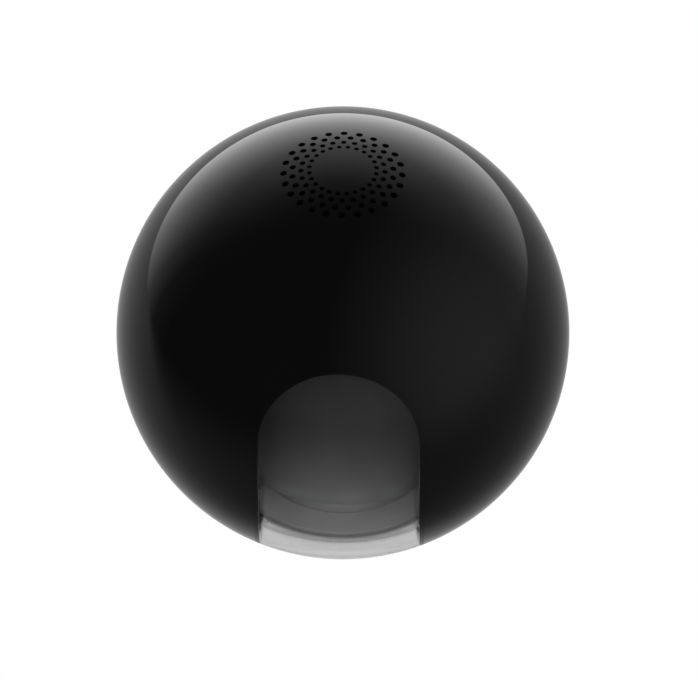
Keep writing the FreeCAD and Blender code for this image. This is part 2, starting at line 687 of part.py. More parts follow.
upright = FreeCAD.Rotation()
finish("pan_motor", group(seat(motor(), (0, pan_pitch, deck_top), upright)))
motor_screws = [
    screw(x, pan_pitch, deck_top + S.motor_ear_wall + S.screw_head_height, S.motor_screw_length, "-z")
    for x in (S.ear_reach, -S.ear_reach)]
pinion_low = table_top + 0.2
finish("pan_pinion", place_shape(
    "pan_pinion", gear(S.pan_pinion_teeth, S.gear_wall, S.shaft_radius, -90, space=True),
    (0, pan_pitch, pinion_low)))
finish("pan_motor_shaft", cylinder(S.shaft_radius, deck_top - pinion_low + S.motor_depth - 3,
                                   (0, pan_pitch, pinion_low)))

# Arms that carry the head's axle, with the tilt motor outside the right one
tilt_pitch = S.gear_module * (S.tilt_gear_teeth + S.tilt_pinion_teeth) / 2 + S.mesh_clearance
arm_outer = S.arm_inner + S.arm_wall
bearing_radius = S.axle_radius + S.bearing_wall
ear_end = S.ear_reach + S.motor_ear_width / 2
motor_seat = arm_outer + S.loose_fit * 2 + S.gear_wall + 1.0


def arm(side):
    """An upright plate with a screwed foot; side is 1 for the right arm and -1 for the left."""
    def slab(near, away, low, high):
        a, b = (S.arm_inner, away) if side > 0 else (-away, -S.arm_inner)
        return block((a, near[0], low), (b, near[1], high))
    depth = S.arm_half_depth
    column = slab((-depth, depth), arm_outer, table_top, depth)
    foot_plate = slab((-depth, depth), S.arm_foot_reach, table_top, table_top + S.arm_foot_wall)
    bores = [cylinder(S.screw_radius + S.fit, S.arm_foot_wall + 0.6,
                      (S.arm_screw_place * side, y * S.arm_screw_spread, table_top - 1))
             for y in (1, -1)]
    start = -arm_outer - 1 if side < 0 else S.arm_inner - 1
    eye = cylinder(bearing_radius + S.fit, S.arm_wall + 2, (start, 0, 0), "x")
    pieces = [column, foot_plate]
    cuts = [group(*bores), eye]
    if side > 0:
        pieces.append(slab((-depth, tilt_pitch + S.post_radius + 2), arm_outer, -ear_end, ear_end))
        for z in (S.ear_reach, -S.ear_reach):
            pieces.append(cylinder(S.post_radius, motor_seat - S.arm_inner,
                                   (S.arm_inner, tilt_pitch, z), "x"))
            cuts.append(cylinder(S.screw_radius + S.fit, 4, (motor_seat - 3.5, tilt_pitch, z), "x"))
    return cut(fuse(*pieces), *cuts)


finish("left_arm", arm(-1))
finish("right_arm", arm(1))
finish("arm_screws", group(*[
    screw(x, y, table_bottom, S.table_wall - S.screw_head_height + S.arm_foot_wall - 0.6, "z")
    for x, y in arm_places]))
bearing_start = S.head_half_width + S.loose_fit


def bearing(side):
    flange_at = bearing_start if side > 0 else -bearing_start
    along = "x" if side > 0 else "-x"
    flange_part = cylinder(S.bearing_flange, S.arm_inner - bearing_start, (flange_at, 0, 0), along)
    sleeve = cylinder(bearing_radius, arm_outer - bearing_start, (flange_at, 0, 0), along)
    bore = cylinder(S.axle_radius + S.running_fit, 8, (flange_at - side, 0, 0), along)
    return cut(fuse(flange_part, sleeve), bore)


finish("axle_bearings", group(bearing(1), bearing(-1)))
sideways = FreeCAD.Rotation(V(0, 1, 0), 90)
finish("tilt_motor", group(seat(motor(), (motor_seat, tilt_pitch, 0), sideways)))
motor_screws += [
    screw(motor_seat + S.motor_ear_wall + S.screw_head_height, tilt_pitch, z, S.motor_screw_length, "-x")
    for z in (S.ear_reach, -S.ear_reach)]
finish("motor_screws", group(*motor_screws))
tilt_gear_at = arm_outer + S.loose_fit * 2
finish("tilt_pinion", place_shape(
    "tilt_pinion", gear(S.tilt_pinion_teeth, S.gear_wall, S.shaft_radius, -90, space=True),
    (tilt_gear_at, tilt_pitch, 0), "x"))
finish("tilt_motor_shaft", cylinder(S.shaft_radius, motor_seat - tilt_gear_at + S.motor_depth - 3,
                                    (tilt_gear_at, tilt_pitch, 0), "x"))
driven_gear = gear(S.tilt_gear_teeth, S.gear_wall, S.axle_radius + S.fit, 90)
finish("tilt_gear", place_shape("tilt_gear", driven_gear, (tilt_gear_at, 0, 0), "x"))

# Tilting head: a flat-faced drum on its axle, with the lens, the night lights and the visor
half = S.drum_half_width
drum_room = half - S.drum_wall
drum = cut(cylinder(S.drum_radius, half * 2, (-half, 0, 0), "x"),
           cylinder(S.drum_radius - S.drum_wall, drum_room * 2, (-drum_room, 0, 0), "x"),
           block((-far, -far, -far), (far, -S.drum_front, far)))
axle_eye = cylinder(S.axle_radius + S.fit, far, (-S.ball_radius, 0, 0), "x")
front_zone = block((-far, -far, -far), (far, S.drum_split - S.fit, far))
rear_zone = block((-far, S.drum_split, -far), (far, far, far))
finish("head_housing", cut(common(drum, front_zone), axle_eye), park=True)
finish("head_rear_cover", common(drum, rear_zone), park=True)

pins = []
for side in (1, -1):
    along = "x" if side > 0 else "-x"
    tip = tilt_gear_at + S.gear_wall + 0.4 if side > 0 else arm_outer + 0.4
    start = S.drum_half_width - S.drum_wall
    pin = cylinder(S.axle_radius, tip - start, (start * side, 0, 0), along)
    head = cylinder(S.axle_radius + 1.2, 1.0, ((start - 1.0) * side, 0, 0), along)
    pins.append(fuse(pin, head))
finish("axle_pins", group(*pins), park=True)

face_half = chord(S.drum_radius, S.drum_front)
face_back = -S.drum_front
posts_at = [(S.post_x, S.post_z), (-S.post_x, S.post_z), (S.post_x, -S.post_z), (-S.post_x, -S.post_z)]
leds_at = [(S.led_x, S.led_z), (-S.led_x, S.led_z), (S.led_x, -S.led_z), (-S.led_x, -S.led_z)]
post_tip = -S.sensor_board_place
face_plate = block((-half, face_back - S.face_wall, -face_half), (half, face_back, face_half))
face_posts = [cut(cylinder(1.5, post_tip - face_back, (x, face_back, z), "y"),
                  cylinder(S.screw_radius + S.fit, 5, (x, post_tip - 4.5, z), "y")) for x, z in posts_at]
face_holes = [cylinder(S.ir_port_radius, 4, (x, face_back - 3, z), "y") for x, z in leds_at]
face_holes.append(cylinder(S.barrel_radius + S.fit, 6, (0, face_back - 4, 0), "y"))
face_holes.append(cylinder(S.light_sensor_radius, 4, (0, face_back - 3, S.light_sensor_height), "y"))
finish("face_plate", fuse(cut(face_plate, group(*face_holes)), *face_posts), park=True)

step = (S.barrel_front + S.barrel_rear) / 2
barrel = cut(cylinder(S.barrel_radius, S.barrel_front - S.barrel_rear, (0, -S.barrel_rear, 0), "-y"),
             cylinder(S.lens_radius + S.fit, far, (0, -step, 0), "-y"),
             cylinder(S.rear_lens_radius + S.fit, far, (0, 0, 0), "-y"))
finish("lens_barrel", barrel, park=True)
edge_front = S.barrel_front - S.lens_recess
lens_curve = (S.lens_radius * S.lens_radius + S.lens_bulge * S.lens_bulge) / (S.lens_bulge * 2)
dome = common(ball(lens_curve, (0, -(edge_front + S.lens_bulge - lens_curve), 0)),
              cylinder(S.lens_radius, far, (0, -edge_front, 0), "-y"))
edge = cylinder(S.lens_radius, S.lens_edge, (0, -edge_front + S.lens_edge, 0), "-y")
finish("front_lens", fuse(dome, edge), park=True)
baffle_from = edge_front - S.lens_edge - S.fit
baffle = cut(cylinder(S.lens_radius, baffle_from - step, (0, -step, 0), "-y"),
             cone(S.rear_lens_radius - 1.5, S.lens_radius - 0.8, baffle_from - step, (0, -step, 0), "-y"))
finish("lens_baffle", baffle, park=True)
finish("rear_lens", cylinder(S.rear_lens_radius, 3, (0, -step + 3.2, 0), "-y"), park=True)

mount = cut(block((-S.mount_half_width, -S.barrel_rear, -S.mount_half_width),
                  (S.mount_half_width, -S.sensor_board_place, S.mount_half_width)),
            cylinder(S.mount_bore, far, (0, 0, 0), "-y"))
finish("lens_mount", mount, park=True)
board_half_x = S.sensor_board_half_width
board_half_z = S.sensor_board_half_height
sensor_holes = [cylinder(S.screw_radius + S.fit, 4, (x, post_tip - 1, z), "y") for x, z in posts_at]
sensor_back = post_tip + S.sensor_board_wall
sensor_board = block((-board_half_x, post_tip, -board_half_z), (board_half_x, sensor_back, board_half_z))
finish("sensor_board", cut(sensor_board, group(*sensor_holes)), park=True)
finish("image_sensor", block((-S.sensor_half_width, post_tip - S.sensor_wall, -S.sensor_half_height),
                             (S.sensor_half_width, post_tip, S.sensor_half_height)), park=True)
finish("sensor_screws", group(*[screw(x, sensor_back + S.screw_head_height, z, 4.6, "-y")
                                for x, z in posts_at]), park=True)
ir_back = -S.ir_board_place
ir_side = half - S.drum_wall - S.loose_fit
ir_board = cut(block((-ir_side, ir_back - S.ir_board_wall, -S.ir_board_half_height),
                     (ir_side, ir_back, S.ir_board_half_height)),
               cylinder(S.barrel_radius + S.loose_fit, far, (0, 0, 0), "-y"),
               group(*[cylinder(1.5 + S.fit, 4, (x, ir_back - 3, z), "y") for x, z in posts_at]))
finish("ir_board", ir_board, park=True)
finish("ir_leds", group(*[
    fuse(cylinder(S.led_radius, S.led_height - 0.6, (x, ir_back - S.ir_board_wall, z), "-y"),
         common(ball(S.led_radius, (x, ir_back - S.ir_board_wall - S.led_height + 0.9, z)),
                cylinder(S.led_radius, 3, (x, ir_back - S.ir_board_wall, z), "-y")))
    for x, z in leds_at]), park=True)

wide = S.head_half_width - 0.2
cheek_in = wide - S.cheek_wall
wedge = new("Part::Cylinder", "wedge")
bind(wedge, "Radius", S.ball_radius)
bind(wedge, "Height", wide * 2)
bind(wedge, "Angle", S.visor_sweep)
put(wedge, (wide, 0, 0), "-x")
sector = group(wedge)
sector.Placement = FreeCAD.Placement(V(), FreeCAD.Rotation(V(1, 0, 0), 90 - S.visor_start.value))
sector.setExpression("Placement.Rotation.Angle", "90 - Sizes.visor_start")
hollow = common(ball(S.visor_radius - S.visor_wall), block((-cheek_in, -far, -far), (cheek_in, far, far)))
visor = cut(ball(S.visor_radius), hollow)
hubs = [cylinder(S.cheek_hub, S.cheek_wall, (start, 0, 0), "x") for start in (cheek_in, -wide)]
finish("head_visor", cut(fuse(common(visor, sector), *hubs),
                         cylinder(S.axle_radius + S.fit, far, (-S.ball_radius, 0, 0), "x")), park=True)

# Speaker under the grille, in the collar of the front shell
frame = turned("speaker_frame", [
    (S.magnet_radius + S.fit, speaker_bottom), (S.speaker_radius, speaker_bottom),
    (S.speaker_radius, S.speaker_top), (S.speaker_radius - S.speaker_wall, S.speaker_top),
    (S.speaker_radius - S.speaker_wall, speaker_bottom + 1.0),
    (S.magnet_radius + S.fit, speaker_bottom + 1.0)])
finish("speaker_frame", frame)
magnet_low = speaker_bottom + 1.0 - S.magnet_depth
finish("speaker_magnet", cylinder(S.magnet_radius, S.magnet_depth, (0, 0, magnet_low)))
cone_out = S.speaker_radius - S.speaker_wall - S.fit
cone_top = S.speaker_top - 0.2
cup = turned("speaker_cone", [
    (0, cone_top - 1.6), (5.0, speaker_bottom + 1.05), (cone_out, cone_top - 0.5), (cone_out, cone_top),
    (5.2, speaker_bottom + 1.6), (3.4, cone_top - 0.9), (0, cone_top - 0.6)])
finish("speaker_cone", cup)
finish("speaker_clamp", ring(S.clamp_bore, collar_outer, speaker_bottom - S.clamp_wall, speaker_bottom))
screen_radius = S.speaker_radius + S.fit
finish("grille_screen", cylinder(screen_radius, S.screen_wall, (0, 0, S.speaker_top)))
screen_top = S.speaker_top + S.screen_wall
foam_top = screen_top + S.foam_wall
finish("speaker_foam", ring(screen_radius - S.foam_width, screen_radius, screen_top, foam_top))

# Boards, card socket, reset button and microphone in the rear of the ball
back = S.board_front + S.board_wall
boss_places = [(S.board_hole_x, S.board_hole_top), (-S.board_hole_x, S.board_hole_top),
               (S.board_hole_x, -S.board_hole_bottom), (-S.board_hole_x, -S.board_hole_bottom)]
main = block((-S.board_half_width, S.board_front, -S.board_bottom),
             (S.board_half_width, back, S.board_top))
main_holes = [cylinder(S.screw_radius + S.fit, 5, (x, S.board_front - 1, z), "y") for x, z in boss_places]
finish("main_board", cut(main, group(*main_holes)))
finish("board_screws", group(*[screw(x, S.board_front - S.screw_head_height, z, 5.0, "y")
                               for x, z in boss_places]))
finish("shield_can", block((-S.can_half_width, back, -S.can_bottom),
                           (S.can_half_width, back + S.can_height, S.can_half_width)))
finish("wifi_antenna", block((-S.antenna_half_width, S.board_front + 0.4, S.board_top),
                             (S.antenna_half_width, S.board_front + 0.4 + S.antenna_wall,
                              S.board_top + S.antenna_height)))
io_top = -S.io_board_top
io_bottom = io_top - S.io_board_wall
finish("io_board", block((-S.io_board_half_width, back, io_bottom),
                         (S.io_board_half_width, S.io_board_reach, io_top)))
card_side = S.card_socket_half_width
card_body = block((-card_side, back + 0.6, io_top + S.fit), (card_side, S.io_board_reach, card_top))
card_mouth = block((-S.card_slot_width / 2, back + 2, slot_low),
                   (S.card_slot_width / 2, far, slot_low + S.card_slot_height - 0.2))
finish("card_socket", cut(card_body, card_mouth))
switch_front = S.button_back - S.button_travel - 0.2
stem_from = switch_front - 0.5
switch = fuse(block((-S.switch_half_width, stem_from - S.switch_depth, -S.button_height - 1.8),
                    (S.switch_half_width, stem_from, io_bottom)),
              cylinder(S.switch_stem, switch_front - stem_from, (0, stem_from, -S.button_height), "y"))
finish("reset_switch", switch)
button_at = (0, S.button_back, -S.button_height)
button = fuse(cylinder(S.button_flange, S.button_flange_wall, button_at, "y"),
              cylinder(S.button_radius, S.button_face - S.button_back, button_at, "y"))
finish("reset_button", button)
finish("microphone", cylinder(S.mic_radius, S.mic_depth,
                              (S.mic_place, S.mic_back, io_top + S.mic_radius), "y"))

doc.recompute()
problems = [item.Label for item in doc.Objects if "Invalid" in item.State or "Error" in item.State]
for label, target in NODES.items():
    shape = target.Shape
    if shape.isNull() or not shape.isValid() or not shape.Solids:
        problems.append(label)
if problems:
    raise RuntimeError("failed pieces: " + ", ".join(problems))
os.makedirs("parts", exist_ok=True)
for label, target in NODES.items():
    target.Shape.exportStep("parts/%s.step" % label)
    box = target.Shape.BoundBox
    print("%-18s %2d solids %9.1f mm3  x %.2f..%.2f y %.2f..%.2f z %.2f..%.2f" % (
        label, len(target.Shape.Solids), target.Shape.Volume,
        box.XMin, box.XMax, box.YMin, box.YMax, box.ZMin, box.ZMax))
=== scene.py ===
"""The looks of a ball-shaped indoor camera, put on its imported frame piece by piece."""
import math

import bmesh
import bpy
from mathutils import Matrix, Vector


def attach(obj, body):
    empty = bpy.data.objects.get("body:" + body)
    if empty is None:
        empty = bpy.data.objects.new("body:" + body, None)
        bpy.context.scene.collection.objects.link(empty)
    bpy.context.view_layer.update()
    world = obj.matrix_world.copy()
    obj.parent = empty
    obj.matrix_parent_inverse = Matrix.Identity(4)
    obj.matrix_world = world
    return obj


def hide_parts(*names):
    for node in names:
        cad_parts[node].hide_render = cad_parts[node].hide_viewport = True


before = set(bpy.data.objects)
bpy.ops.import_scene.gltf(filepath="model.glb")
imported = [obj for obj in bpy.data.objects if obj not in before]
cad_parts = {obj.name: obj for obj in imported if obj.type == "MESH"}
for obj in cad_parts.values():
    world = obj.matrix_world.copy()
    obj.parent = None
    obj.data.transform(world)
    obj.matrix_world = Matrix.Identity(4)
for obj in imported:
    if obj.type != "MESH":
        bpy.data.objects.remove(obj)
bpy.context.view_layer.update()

# Foot ring
# A soft rubber ring glued under the base, so that the camera grips a shelf.
# It is moulded with a fine matt skin. Everything else stands on it.
mm = 0.001


class Value:
    """A shader socket that Python's own signs work on, each adding one Math node."""

    def __init__(self, tree, socket):
        self.tree = tree
        self.socket = socket

    def maths(self, operation, first, second):
        node = self.tree.nodes.new("ShaderNodeMath")
        node.operation = operation
        for place, item in enumerate((first, second)):
            if isinstance(item, Value):
                self.tree.links.new(item.socket, node.inputs[place])
            else:
                node.inputs[place].default_value = item
        return Value(self.tree, node.outputs[0])

    def __add__(self, other):
        return self.maths("ADD", self, other)

    def __radd__(self, other):
        return self.maths("ADD", other, self)

    def __sub__(self, other):
        return self.maths("SUBTRACT", self, other)

    def __rsub__(self, other):
        return self.maths("SUBTRACT", other, self)

    def __mul__(self, other):
        return self.maths("MULTIPLY", self, other)

    def __truediv__(self, other):
        return self.maths("DIVIDE", self, other)


class Nodes:
    """A node tree that nodes are added to, for a material or for the world."""

    def __init__(self, tree):
        self.tree = tree

    def node(self, kind, settings=None, output=0, **sockets):
        """Adds a node: its settings first, then the values or links of its sockets."""
        node = self.tree.nodes.new("ShaderNode" + kind)
        for setting, value in (settings or {}).items():
            if setting == "stops":
                ramp = node.color_ramp
                while len(ramp.elements) < len(value):
                    ramp.elements.new(0.5)
                for element, (position, shade) in zip(ramp.elements, value):
                    element.position = position
                    element.color = (shade, shade, shade, 1.0)
            else:
                setattr(node, setting, value)
        for socket, value in sockets.items():
            target = node.inputs[int(socket[1:]) if socket[1:].isdigit() else socket.replace("_", " ")]
            if isinstance(value, Value):
                self.tree.links.new(value.socket, target)
            else:
                target.default_value = value
        return Value(self.tree, node.outputs[output])

    def smooth(self, value, low, high):
        """0 below low and 1 above high, with a soft step between them."""
        return self.node("MapRange", {"interpolation_type": "SMOOTHSTEP"}, Value=value,
                         From_Min=low, From_Max=high)

    def levels(self, value, steps):
        """A value turned into a level: each step pairs a place, in rising order, with its level."""
        low, high = steps[0][0], steps[-1][0]
        stops = [((place - low) / (high - low), level) for place, level in steps]
        share = self.node("MapRange", Value=value, From_Min=low, From_Max=high)
        return self.node("ValToRGB", {"stops": stops}, Fac=share)


class Finish(Nodes):
    """A material on Object coordinates: constants go on its shader, varying parts are fed to it."""

    def __init__(self, name, colour, roughness, **constants):
        self.material = bpy.data.materials.new(name)
        self.material.use_nodes = True
        super().__init__(self.material.node_tree)
        self.shader = self.tree.nodes["Principled BSDF"]
        self.shader.inputs["Base Color"].default_value = (*colour, 1.0)
        self.shader.inputs["Roughness"].default_value = roughness
        for socket, value in constants.items():
            self.shader.inputs[socket.replace("_", " ")].default_value = value
        coordinates = self.tree.nodes.new("ShaderNodeTexCoord")
        self.place = Value(self.tree, coordinates.outputs["Object"])

    def feed(self, **sockets):
        for socket, value in sockets.items():
            self.tree.links.new(value.socket, self.shader.inputs[socket.replace("_", " ")])

    def noise(self, size, detail, stretch=(1, 1, 1)):
        """Noise whose lumps are about that many millimetres across."""
        spot = self.node("Mapping", Vector=self.place, Scale=stretch)
        return self.node("TexNoise", Vector=spot, Scale=1.0 / (size * mm), Detail=detail)

    def bump(self, height, depth):
        """A height from 0 to 1 becomes a relief of that many millimetres."""
        relief = self.node("Bump", Height=height, Distance=depth * mm, Strength=1.0)
        self.feed(Normal=relief)


def dress(finish, *names):
    """Gives CAD nodes their finish."""
    for name in names:
        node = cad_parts[name]
        if not node.material_slots:
            node.data.materials.append(finish.material)
        for place in node.material_slots:
            place.material = finish.material


def moulded(name, colour, roughness, grain, depth):
    """A moulded plastic or rubber: an even colour, a slightly patchy sheen and a fine grained skin."""
    finish = Finish(name, colour, roughness)
    patches = finish.noise(6.0, 3.0)
    skin = finish.noise(grain, 2.0)
    finish.feed(Roughness=roughness * 0.85 + patches * (roughness * 0.3))
    darker = [c * 0.85 for c in colour]
    lighter = [min(c * 1.15, 1) for c in colour]
    shade = finish.node("Mix", {"data_type": "RGBA"}, output=2, _0=patches,
                        _6=(*darker, 1), _7=(*lighter, 1))
    finish.feed(Base_Color=shade)
    finish.bump(skin, depth)
    return finish


foot_rubber = moulded("foot_rubber", (0.018, 0.018, 0.018), 0.75, 0.25, 0.02)
dress(foot_rubber, "foot_ring")

# Base plate, its screws and the tripod insert
# The plate is a satin black moulding that closes the base from below. Three plated screws
# hold it, and a turned brass insert in its middle takes a tripod's screw.
base_plastic = moulded("base_plastic", (0.012, 0.012, 0.013), 0.42, 0.18, 0.008)
dress(base_plastic, "base_plate")


def turned_metal(name, colour, roughness, lines, depth, along=(1, 1, 12)):
    """Bare metal with the fine marks that a tool or a brush left across it."""
    finish = Finish(name, colour, roughness, Metallic=1.0)
    marks = finish.noise(lines, 3.0, stretch=along)
    tarnish = finish.noise(4.0, 3.0)
    finish.feed(Roughness=roughness * 0.8 + tarnish * (roughness * 0.4))
    shade = finish.node("Mix", {"data_type": "RGBA"}, output=2, _0=tarnish,
                        _6=(*[c * 0.8 for c in colour], 1), _7=(*colour, 1))
    finish.feed(Base_Color=shade)
    finish.bump(marks, depth)
    return finish


insert_brass = turned_metal("insert_brass", (0.72, 0.53, 0.24), 0.3, 1.2, 0.01)
dress(insert_brass, "tripod_insert")
screw_steel = turned_metal("screw_steel", (0.45, 0.45, 0.46), 0.35, 0.8, 0.008)
dress(screw_steel, "base_screws")

# Power socket
# A plated sheet jacket round a black tongue, soldered to a small green board. It faces
# out of a notch at the rear of the base.
socket_metal = turned_metal("socket_metal", (0.6, 0.6, 0.6), 0.22, 0.6, 0.003)
dress(socket_metal, "power_socket")
black_insulator = moulded("black_insulator", (0.02, 0.02, 0.02), 0.5, 0.1, 0.004)
dress(black_insulator, "socket_tongue")


def solder_masked(name, colour):
    """A printed board: the mask's gloss over a faint relief of copper tracks."""
    finish = Finish(name, colour, 0.35)
    tracks = finish.node("TexVoronoi", {"feature": "F1", "distance": "CHEBYCHEV"},
                         Vector=finish.place, Scale=900.0)
    lines = finish.node("ValToRGB", {"stops": [(0.42, 0.0), (0.5, 1.0)]}, Fac=tracks)
    shade = finish.node("Mix", {"data_type": "RGBA"}, output=2, _0=lines,
                        _6=(*colour, 1), _7=(*[c * 1.5 for c in colour], 1))
    finish.feed(Base_Color=shade)
    finish.bump(lines, 0.02)
    return finish


board_green = solder_masked("board_green", (0.02, 0.09, 0.045))
dress(board_green, "socket_board")

# Base housing
# The fixed bowl under the ball. It carries on the ball's curve in the same black plastic
# with a satin skin, and holds the hub on which the ball turns.
ball_centre = Vector((0, 0, 47.0 * mm))
ball_radius = 50.0
base_inside = 48.0


def smooth_copy(node_name, radii):
    """A merged copy of a CAD node, shaded smooth, with true normals on its ball surfaces."""
    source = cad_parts[node_name]
    form = bmesh.new()
    form.from_mesh(source.data)
    bmesh.ops.remove_doubles(form, verts=form.verts, dist=0.002 * mm)
    bmesh.ops.dissolve_degenerate(form, edges=form.edges, dist=0.0005 * mm)
    piece = finished(node_name + "_smooth", form)
    true_normals(piece, radii)
    return piece


def finished(name, form):
    """Turns a bmesh into an object of the scene."""
    mesh = bpy.data.meshes.new(name)
    form.to_mesh(mesh)
    form.free()
    piece = bpy.data.objects.new(name, mesh)
    bpy.context.scene.collection.objects.link(piece)
    return piece


def true_normals(piece, radii):
    """Smooth shading with the exact normal wherever a face lies on one of the ball's spheres."""
    sharp_from = math.radians(30.0)
    facing_share = 0.94
    tolerance = 0.004 * mm
    mesh = piece.data
    mesh.shade_smooth()
    mesh.set_sharp_from_angle(angle=sharp_from)
    normals = [Vector((0, 0, 0))] * len(mesh.loops)
    for face in mesh.polygons:
        for corner in face.loop_indices:
            arm = mesh.vertices[mesh.loops[corner].vertex_index].co - ball_centre
            out = arm.normalized()
            facing = out.dot(face.normal)
            on_sphere = any(abs(arm.length - radius * mm) < tolerance for radius in radii)
            if abs(facing) > facing_share and on_sphere:
                normals[corner] = out if facing > 0 else -out
    mesh.normals_split_custom_set(normals)


base_skin = smooth_copy("base_housing", [ball_radius, base_inside])
base_skin.data.materials.append(base_plastic.material)
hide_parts("base_housing")
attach(base_skin, "base")

# Pan gear, bushing and retainer
# A white acetal gear is fixed on the hub and a bushing of the same plastic carries the ball
# round it. A black washer with a stop tab holds both down.
acetal = moulded("acetal", (0.75, 0.74, 0.7), 0.4, 0.3, 0.01)
dress(acetal, "pan_gear", "pan_pinion", "pan_bushing", "tilt_gear", "tilt_pinion", "axle_bearings")
frame_plastic = moulded("frame_plastic", (0.03, 0.03, 0.032), 0.5, 0.2, 0.01)
dress(frame_plastic, "hub_retainer")

# Turntable, deck and arms
# The white turntable closes the ball from below and turns with it. The grey deck over the
# gears holds the pan motor, and two black arms, screwed down, hold the head's axle.
cover_plastic = moulded("cover_plastic", (0.75, 0.75, 0.74), 0.4, 0.3, 0.004)
dress(cover_plastic, "turntable")
deck_plastic = moulded("deck_plastic", (0.2, 0.2, 0.2), 0.4, 0.3, 0.004)
dress(deck_plastic, "deck_cover")
dress(frame_plastic, "left_arm", "right_arm")
dress(screw_steel, "shell_screws", "arm_screws")

# Motors
# Two small geared motors in drawn steel cans, each held by two screws, one for each
# movement. Their ground shafts carry the white pinions.
motor_can = turned_metal("motor_can", (0.5, 0.5, 0.5), 0.3, 1.0, 0.006, (12, 12, 1))
dress(motor_can, "pan_motor", "tilt_motor")
dress(screw_steel, "motor_screws")
axle_steel = turned_metal("axle_steel", (0.55, 0.55, 0.56), 0.2, 0.5, 0.003)
dress(axle_steel, "pan_motor_shaft", "tilt_motor_shaft", "axle_pins")

# Head
# A flat-fronted drum of satin black plastic in two halves, which carries the lens. A round
# visor on its side covers the window while the camera is asleep.
head_plastic = moulded("head_plastic", (0.05, 0.05, 0.052), 0.4, 0.2, 0.006)
dress(head_plastic, "head_housing", "head_rear_cover")
visor_radius = 38.0
visor_inside = 36.6
visor = smooth_copy("head_visor", [visor_radius, visor_inside])
visor_plastic = moulded("visor_plastic", (0.09, 0.09, 0.091), 0.3, 0.3, 0.0004)
visor.data.materials.append(visor_plastic.material)
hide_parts("head_visor")
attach(visor, "head")

# Face plate and lens
# A glossy black plate round an anodised barrel, with two coated glass lenses, a conical
# baffle between them and the holder that seats them on the sensor board.
face_gloss = moulded("face_gloss", (0.01, 0.01, 0.011), 0.08, 2.0, 0.002)
dress(face_gloss, "face_plate")
lens_black = turned_metal("lens_black", (0.02, 0.02, 0.02), 0.35, 0.5, 0.004)
dress(lens_black, "lens_barrel", "lens_baffle")
dress(black_insulator, "lens_mount")


def clear(name, tint, roughness, index):
    """Glass or clear plastic with the faintest unevenness in its polish."""
    finish = Finish(name, tint, roughness, Transmission_Weight=1.0, IOR=index)
    polish = finish.noise(3.0, 2.0)
    finish.feed(Roughness=roughness + polish * 0.01)
    finish.bump(finish.noise(8.0, 1.0), 0.0015)
    return finish


lens_glass = clear("lens_glass", (0.75, 0.78, 0.95), 0.0, 1.6)
dress(lens_glass, "front_lens", "rear_lens")

# Image sensor and night lights
# The sensor sits on a green board behind the lens. A black board carries infrared lights in
# clear epoxy, which show as small domes round the lens.
sensor_cover = moulded("sensor_cover", (0.02, 0.025, 0.04), 0.1, 0.05, 0.001)
dress(sensor_cover, "image_sensor")
dress(board_green, "sensor_board")
dress(screw_steel, "sensor_screws")
board_black = solder_masked("board_black", (0.02, 0.02, 0.022))
dress(board_black, "ir_board")
led_epoxy = clear("led_epoxy", (0.6, 0.4, 0.45), 0.02, 1.5)
dress(led_epoxy, "ir_leds")

# Speaker
# A round speaker under the top of the ball: a black frame, a plated magnet and a pressed
# film cone, clamped against a foam ring, under a fine woven dust screen.
dress(frame_plastic, "speaker_frame", "speaker_clamp")
magnet_plate = turned_metal("magnet_plate", (0.35, 0.35, 0.36), 0.3, 1.0, 0.004)
dress(magnet_plate, "speaker_magnet")
cone_film = moulded("cone_film", (0.03, 0.03, 0.03), 0.6, 0.5, 0.02)
dress(cone_film, "speaker_cone")
soft_seal = moulded("soft_seal", (0.01, 0.01, 0.01), 0.65, 0.3, 0.02)
dress(soft_seal, "speaker_foam")


def woven(name, colour, pitch):
    """A fine square weave, its threads standing up between dark gaps."""
    finish = Finish(name, colour, 0.8)
    spot = finish.node("SeparateXYZ", Vector=finish.place)
    across = finish.node("Math", {"operation": "SINE"}, _0=spot * (math.tau / (pitch * mm)))
    along = finish.node("SeparateXYZ", output=1, Vector=finish.place)
    down = finish.node("Math", {"operation": "SINE"}, _0=along * (math.tau / (pitch * mm)))
    threads = across * down * 0.5 + 0.5
    shade = finish.node("Mix", {"data_type": "RGBA"}, output=2, _0=threads,
                        _6=(*[c * 0.3 for c in colour], 1), _7=(*[c * 2 for c in colour], 1))
    finish.feed(Base_Color=shade)
    finish.bump(threads, 0.05)
    return finish


dust_screen = woven("dust_screen", (0.01, 0.01, 0.01), 0.25)
dress(dust_screen, "grille_screen")

# Main board and what is on it
# The green main board stands on four bosses at the rear of the ball, with a shielded chip
# and the wireless antenna. A small board under it holds the card socket and the button.
dress(board_green, "main_board", "io_board", "wifi_antenna")
dress(screw_steel, "board_screws")
dress(socket_metal, "shield_can", "card_socket")
dress(black_insulator, "reset_switch")
button_plastic = moulded("button_plastic", (0.02, 0.02, 0.02), 0.45, 0.15, 0.006)
dress(button_plastic, "reset_button")
capsule = turned_metal("capsule", (0.6, 0.6, 0.58), 0.35, 0.5, 0.003)
dress(capsule, "microphone")

# Rear shell
# The ball's back and underside, moulded in high-gloss black. It meets the front shell in a
# fine seam and has the card slot, the button's bore and the microphone's port.


def high_gloss(name, colour):
    """A polished black moulding: mirror smooth, with the slightest waviness and haze."""
    finish = Finish(name, colour, 0.03, IOR=1.5)
    haze = finish.noise(9.0, 4.0)
    finish.feed(Roughness=haze * 0.03 + 0.015)
    finish.bump(finish.noise(14.0, 1.0), 0.0025)
    return finish


gloss_shell = high_gloss("gloss_shell", (0.0032, 0.0032, 0.0034))
shell_wall = 2.4
shell_inside = ball_radius - shell_wall
rear_skin = smooth_copy("rear_shell", [ball_radius, shell_inside])
rear_skin.data.materials.append(gloss_shell.material)
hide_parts("rear_shell")
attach(rear_skin, "turret")

